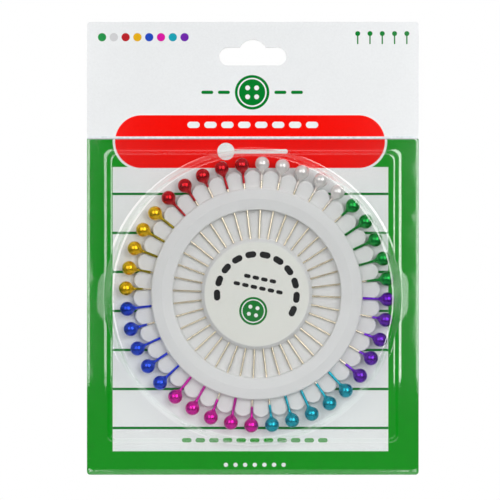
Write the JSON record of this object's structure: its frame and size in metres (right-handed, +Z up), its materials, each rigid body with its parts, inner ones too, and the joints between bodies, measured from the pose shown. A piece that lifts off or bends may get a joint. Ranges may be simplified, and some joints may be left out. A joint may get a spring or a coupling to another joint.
{
  "type": "carded pin wheel",
  "caption": "Printed hang card with a clear blister over a round moulded wheel that holds plastic-head dressmaking pins like spokes.",
  "frame": {"origin": "centre of the hang hole, on the card's back face", "axes": "+Z up the card towards its hanging edge, -Y out of the printed front towards the viewer, +X to the viewer's right"},
  "size_m": [0.0998, 0.0077, 0.1364],
  "materials": {
    "printed_board": "coated paperboard, printed red, green and white on the front, satin",
    "clear_film": "clear thermoformed film, glossy",
    "milky_plastic": "translucent natural polypropylene, satin",
    "label_paper": "coated white paper, printed, satin",
    "green_head": "metallic dipped plastic, glossy",
    "white_head": "pearly dipped plastic, glossy",
    "red_head": "metallic dipped plastic, glossy",
    "yellow_head": "metallic dipped plastic, glossy",
    "blue_head": "metallic dipped plastic, glossy",
    "magenta_head": "metallic dipped plastic, glossy",
    "turquoise_head": "metallic dipped plastic, glossy",
    "purple_head": "metallic dipped plastic, glossy"
  },
  "bodies": {
    "card": {"card": "printed_board"},
    "blister": {"blister": "clear_film"},
    "wheel": {"wheel": "milky_plastic", "label": "label_paper"},
    "pin_green_1": {"pin_green_1": "green_head"},
    "pin_green_2": {"pin_green_2": "green_head"},
    "pin_green_3": {"pin_green_3": "green_head"},
    "pin_green_4": {"pin_green_4": "green_head"},
    "pin_green_5": {"pin_green_5": "green_head"},
    "pin_white_1": {"pin_white_1": "white_head"},
    "pin_white_2": {"pin_white_2": "white_head"},
    "pin_white_3": {"pin_white_3": "white_head"},
    "pin_white_4": {"pin_white_4": "white_head"},
    "pin_white_5": {"pin_white_5": "white_head"},
    "pin_red_1": {"pin_red_1": "red_head"},
    "pin_red_2": {"pin_red_2": "red_head"},
    "pin_red_3": {"pin_red_3": "red_head"},
    "pin_red_4": {"pin_red_4": "red_head"},
    "pin_red_5": {"pin_red_5": "red_head"},
    "pin_yellow_1": {"pin_yellow_1": "yellow_head"},
    "pin_yellow_2": {"pin_yellow_2": "yellow_head"},
    "pin_yellow_3": {"pin_yellow_3": "yellow_head"},
    "pin_yellow_4": {"pin_yellow_4": "yellow_head"},
    "pin_yellow_5": {"pin_yellow_5": "yellow_head"},
    "pin_blue_1": {"pin_blue_1": "blue_head"},
    "pin_blue_2": {"pin_blue_2": "blue_head"},
    "pin_blue_3": {"pin_blue_3": "blue_head"},
    "pin_blue_4": {"pin_blue_4": "blue_head"},
    "pin_blue_5": {"pin_blue_5": "blue_head"},
    "pin_magenta_1": {"pin_magenta_1": "magenta_head"},
    "pin_magenta_2": {"pin_magenta_2": "magenta_head"},
    "pin_magenta_3": {"pin_magenta_3": "magenta_head"},
    "pin_magenta_4": {"pin_magenta_4": "magenta_head"},
    "pin_magenta_5": {"pin_magenta_5": "magenta_head"},
    "pin_turquoise_1": {"pin_turquoise_1": "turquoise_head"},
    "pin_turquoise_2": {"pin_turquoise_2": "turquoise_head"},
    "pin_turquoise_3": {"pin_turquoise_3": "turquoise_head"},
    "pin_turquoise_4": {"pin_turquoise_4": "turquoise_head"},
    "pin_turquoise_5": {"pin_turquoise_5": "turquoise_head"},
    "pin_purple_1": {"pin_purple_1": "purple_head"},
    "pin_purple_2": {"pin_purple_2": "purple_head"},
    "pin_purple_3": {"pin_purple_3": "purple_head"},
    "pin_purple_4": {"pin_purple_4": "purple_head"},
    "pin_purple_5": {"pin_purple_5": "purple_head"}
  },
  "joints": [
    {"name": "blister_peel", "type": "hinge", "parent": "card", "child": "blister", "pos_m": [0, -0.0005, -0.12598], "axis": [1, 0, 0], "range_deg": [0, 100]},
    {"name": "wheel_spin", "type": "hinge", "parent": "card", "child": "wheel", "pos_m": [0.0012, -0.0005, -0.07144], "axis": [0, -1, 0], "continuous": true},
    {"name": "pin_green_1_pull", "type": "slide", "parent": "wheel", "child": "pin_green_1", "axis": [0.9934, 0, 0.1149], "range_m": [-0.00064, 0.00086]},
    {"name": "pin_green_2_pull", "type": "slide", "parent": "wheel", "child": "pin_green_2", "axis": [0.9632, 0, 0.2689], "range_m": [-0.00067, 0.00083]},
    {"name": "pin_green_3_pull", "type": "slide", "parent": "wheel", "child": "pin_green_3", "axis": [0.9092, 0, 0.4163], "range_m": [-0.00045, 0.00105]},
    {"name": "pin_green_4_pull", "type": "slide", "parent": "wheel", "child": "pin_green_4", "axis": [0.8329, 0, 0.5534], "range_m": [-0.0006, 0.0009]},
    {"name": "pin_green_5_pull", "type": "slide", "parent": "wheel", "child": "pin_green_5", "axis": [0.7361, 0, 0.6769], "range_m": [-0.00047, 0.00103]},
    {"name": "pin_white_1_pull", "type": "slide", "parent": "wheel", "child": "pin_white_1", "axis": [0.6211, 0, 0.7837], "range_m": [-0.00039, 0.00111]},
    {"name": "pin_white_2_pull", "type": "slide", "parent": "wheel", "child": "pin_white_2", "axis": [0.4909, 0, 0.8712], "range_m": [-0.00053, 0.00097]},
    {"name": "pin_white_3_pull", "type": "slide", "parent": "wheel", "child": "pin_white_3", "axis": [0.3486, 0, 0.9373], "range_m": [-0.00031, 0.00119]},
    {"name": "pin_white_4_pull", "type": "slide", "parent": "wheel", "child": "pin_white_4", "axis": [0.1977, 0, 0.9803], "range_m": [-0.00041, 0.00109]},
    {"name": "pin_white_5_pull", "type": "slide", "parent": "wheel", "child": "pin_white_5", "axis": [0.0419, 0, 0.9991], "range_m": [-0.00041, 0.00109]},
    {"name": "pin_red_1_pull", "type": "slide", "parent": "wheel", "child": "pin_red_1", "axis": [-0.1149, 0, 0.9934], "range_m": [-0.00026, 0.00124]},
    {"name": "pin_red_2_pull", "type": "slide", "parent": "wheel", "child": "pin_red_2", "axis": [-0.2689, 0, 0.9632], "range_m": [-0.00045, 0.00105]},
    {"name": "pin_red_3_pull", "type": "slide", "parent": "wheel", "child": "pin_red_3", "axis": [-0.4163, 0, 0.9092], "range_m": [-0.00032, 0.00118]},
    {"name": "pin_red_4_pull", "type": "slide", "parent": "wheel", "child": "pin_red_4", "axis": [-0.5534, 0, 0.8329], "range_m": [-0.00033, 0.00117]},
    {"name": "pin_red_5_pull", "type": "slide", "parent": "wheel", "child": "pin_red_5", "axis": [-0.6769, 0, 0.7361], "range_m": [-0.00048, 0.00102]},
    {"name": "pin_yellow_1_pull", "type": "slide", "parent": "wheel", "child": "pin_yellow_1", "axis": [-0.7837, 0, 0.6211], "range_m": [-0.0003, 0.0012]},
    {"name": "pin_yellow_2_pull", "type": "slide", "parent": "wheel", "child": "pin_yellow_2", "axis": [-0.8712, 0, 0.4909], "range_m": [-0.00048, 0.00102]},
    {"name": "pin_yellow_3_pull", "type": "slide", "parent": "wheel", "child": "pin_yellow_3", "axis": [-0.9373, 0, 0.3486], "range_m": [-0.00048, 0.00102]},
    {"name": "pin_yellow_4_pull", "type": "slide", "parent": "wheel", "child": "pin_yellow_4", "axis": [-0.9803, 0, 0.1977], "range_m": [-0.00041, 0.00109]},
    {"name": "pin_yellow_5_pull", "type": "slide", "parent": "wheel", "child": "pin_yellow_5", "axis": [-0.9991, 0, 0.0419], "range_m": [-0.00063, 0.00087]},
    {"name": "pin_blue_1_pull", "type": "slide", "parent": "wheel", "child": "pin_blue_1", "axis": [-0.9934, 0, -0.1149], "range_m": [-0.0005, 0.001]},
    {"name": "pin_blue_2_pull", "type": "slide", "parent": "wheel", "child": "pin_blue_2", "axis": [-0.9632, 0, -0.2689], "range_m": [-0.0006, 0.0009]},
    {"name": "pin_blue_3_pull", "type": "slide", "parent": "wheel", "child": "pin_blue_3", "axis": [-0.9092, 0, -0.4163], "range_m": [-0.00072, 0.00078]},
    {"name": "pin_blue_4_pull", "type": "slide", "parent": "wheel", "child": "pin_blue_4", "axis": [-0.8329, 0, -0.5534], "range_m": [-0.00057, 0.00093]},
    {"name": "pin_blue_5_pull", "type": "slide", "parent": "wheel", "child": "pin_blue_5", "axis": [-0.7361, 0, -0.6769], "range_m": [-0.00079, 0.00071]},
    {"name": "pin_magenta_1_pull", "type": "slide", "parent": "wheel", "child": "pin_magenta_1", "axis": [-0.6211, 0, -0.7837], "range_m": [-0.00074, 0.00076]},
    {"name": "pin_magenta_2_pull", "type": "slide", "parent": "wheel", "child": "pin_magenta_2", "axis": [-0.4909, 0, -0.8712], "range_m": [-0.00071, 0.00079]},
    {"name": "pin_magenta_3_pull", "type": "slide", "parent": "wheel", "child": "pin_magenta_3", "axis": [-0.3486, 0, -0.9373], "range_m": [-0.0009, 0.0006]},
    {"name": "pin_magenta_4_pull", "type": "slide", "parent": "wheel", "child": "pin_magenta_4", "axis": [-0.1977, 0, -0.9803], "range_m": [-0.00073, 0.00077]},
    {"name": "pin_magenta_5_pull", "type": "slide", "parent": "wheel", "child": "pin_magenta_5", "axis": [-0.0419, 0, -0.9991], "range_m": [-0.00086, 0.00064]},
    {"name": "pin_turquoise_1_pull", "type": "slide", "parent": "wheel", "child": "pin_turquoise_1", "axis": [0.1149, 0, -0.9934], "range_m": [-0.00089, 0.0006]},
    {"name": "pin_turquoise_2_pull", "type": "slide", "parent": "wheel", "child": "pin_turquoise_2", "axis": [0.2689, 0, -0.9632], "range_m": [-0.00075, 0.00076]},
    {"name": "pin_turquoise_3_pull", "type": "slide", "parent": "wheel", "child": "pin_turquoise_3", "axis": [0.4163, 0, -0.9092], "range_m": [-0.00094, 0.00056]},
    {"name": "pin_turquoise_4_pull", "type": "slide", "parent": "wheel", "child": "pin_turquoise_4", "axis": [0.5534, 0, -0.8329], "range_m": [-0.0008, 0.00071]},
    {"name": "pin_turquoise_5_pull", "type": "slide", "parent": "wheel", "child": "pin_turquoise_5", "axis": [0.6769, 0, -0.7361], "range_m": [-0.00078, 0.00072]},
    {"name": "pin_purple_1_pull", "type": "slide", "parent": "wheel", "child": "pin_purple_1", "axis": [0.7837, 0, -0.6211], "range_m": [-0.00089, 0.00061]},
    {"name": "pin_purple_2_pull", "type": "slide", "parent": "wheel", "child": "pin_purple_2", "axis": [0.8712, 0, -0.4909], "range_m": [-0.00067, 0.00083]},
    {"name": "pin_purple_3_pull", "type": "slide", "parent": "wheel", "child": "pin_purple_3", "axis": [0.9373, 0, -0.3486], "range_m": [-0.00079, 0.00071]},
    {"name": "pin_purple_4_pull", "type": "slide", "parent": "wheel", "child": "pin_purple_4", "axis": [0.9803, 0, -0.1977], "range_m": [-0.00073, 0.00077]},
    {"name": "pin_purple_5_pull", "type": "slide", "parent": "wheel", "child": "pin_purple_5", "axis": [0.9991, 0, -0.0419], "range_m": [-0.00059, 0.00092]}
  ]
}
